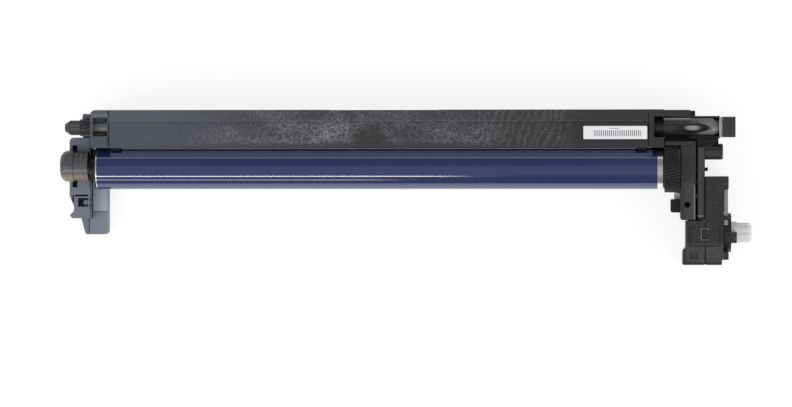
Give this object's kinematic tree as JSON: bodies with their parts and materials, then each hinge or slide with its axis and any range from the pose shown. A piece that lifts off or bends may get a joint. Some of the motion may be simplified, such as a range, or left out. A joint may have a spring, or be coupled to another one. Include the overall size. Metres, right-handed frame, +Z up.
{
  "type": "printer drum unit",
  "caption": "Long printer drum unit: coated photoconductor drum in front of a toner cleaner bar, with charge and wiper rollers, waste auger, helical gearing and a drive coupling.",
  "frame": {"origin": "middle of the unit's bounding box in X and Y, on the surface that it stands on", "axes": "+X along the drum from the front cap to the drive coupling, +Y from the drum to the cleaner bar, +Z up"},
  "size_m": [0.4188, 0.0936, 0.039],
  "materials": {
    "bar_moulding": "matte, powdery with toner dust",
    "front_moulding": "satin",
    "rear_moulding": "satin",
    "gloss_moulding": "gloss",
    "gear_resin": "satin",
    "white_acetal": "satin",
    "drum_coating": "high gloss",
    "plated_steel": "plated",
    "urethane": "satin",
    "roller_rubber": "matte",
    "film": "satin",
    "felt": "fibrous",
    "label_paper": "coated paper"
  },
  "bodies": {
    "housing": {"cleaner_frame": "bar_moulding", "top_cover": "bar_moulding", "blank_label": "label_paper", "blade_bracket": "plated_steel", "cleaning_blade": "urethane", "blade_screw_front": "plated_steel", "blade_screw_rear": "plated_steel", "seal_film": "film", "front_end_seal": "felt", "rear_end_seal": "felt", "front_bracket": "front_moulding", "front_bearing_cap": "front_moulding", "front_leg": "front_moulding", "charge_bearing_front": "rear_moulding", "charge_bearing_rear": "rear_moulding", "charge_spring_front": "plated_steel", "charge_spring_rear": "plated_steel", "wiper_bearing_front": "rear_moulding", "wiper_bearing_rear": "rear_moulding", "rear_plate": "rear_moulding", "outer_plate": "rear_moulding", "gearbox_housing": "rear_moulding", "gearbox_base": "rear_moulding", "coupling_flange": "rear_moulding", "earth_strip": "plated_steel", "waste_outlet_pipe": "gloss_moulding", "shutter_spring": "plated_steel"},
    "drum": {"drum_tube": "drum_coating", "front_flange": "rear_moulding", "drum_gear": "gear_resin", "drum_shaft": "plated_steel"},
    "charge_roller": {"charge_roller_shaft": "plated_steel", "charge_roller_sleeve": "roller_rubber"},
    "wiper_roller": {"wiper_roller_shaft": "plated_steel", "wiper_roller_foam": "felt"},
    "countershaft": {"counter_shaft": "plated_steel", "counter_gear": "white_acetal", "idler_pinion": "white_acetal"},
    "coupling": {"drive_coupling": "white_acetal", "coupling_gear": "white_acetal"},
    "auger": {"auger_screw": "rear_moulding", "auger_gear": "rear_moulding"},
    "shutter": {"outlet_shutter": "rear_moulding", "outlet_seal_ring": "felt", "outlet_push_head": "rear_moulding"}
  },
  "joints": [
    {"name": "drum_spin", "type": "hinge", "parent": "housing", "child": "drum", "pos_m": [0, 0.01085, 0.025], "axis": [1, 0, 0], "continuous": true},
    {"name": "charge_roller_spin", "type": "hinge", "parent": "housing", "child": "charge_roller", "pos_m": [0, 0.01928, 0.01041], "axis": [1, 0, 0], "continuous": true},
    {"name": "wiper_roller_spin", "type": "hinge", "parent": "housing", "child": "wiper_roller", "pos_m": [0, 0.02611, 0.00562], "axis": [1, 0, 0], "continuous": true},
    {"name": "countershaft_spin", "type": "hinge", "parent": "housing", "child": "countershaft", "pos_m": [0, -0.00507, 0.0139], "axis": [1, 0, 0], "continuous": true},
    {"name": "coupling_spin", "type": "hinge", "parent": "housing", "child": "coupling", "pos_m": [0, -0.02735, 0.01701], "axis": [1, 0, 0], "continuous": true},
    {"name": "auger_spin", "type": "hinge", "parent": "housing", "child": "auger", "pos_m": [0, 0.03625, 0.027], "axis": [1, 0, 0], "continuous": true},
    {"name": "shutter_slide", "type": "slide", "parent": "housing", "child": "shutter", "axis": [-1, 0, 0], "range_m": [0, 0.008], "stiffness_N_per_m": 250, "springref_m": -0.004, "deforming": ["shutter_spring"]}
  ],
  "couplings": [
    {"joint": "charge_roller_spin", "follows": "drum_spin", "ratio": -2.6667},
    {"joint": "wiper_roller_spin", "follows": "drum_spin", "ratio": 3.4286},
    {"joint": "countershaft_spin", "follows": "drum_spin", "ratio": -2.2857},
    {"joint": "coupling_spin", "follows": "drum_spin", "ratio": 1.5238}
  ]
}
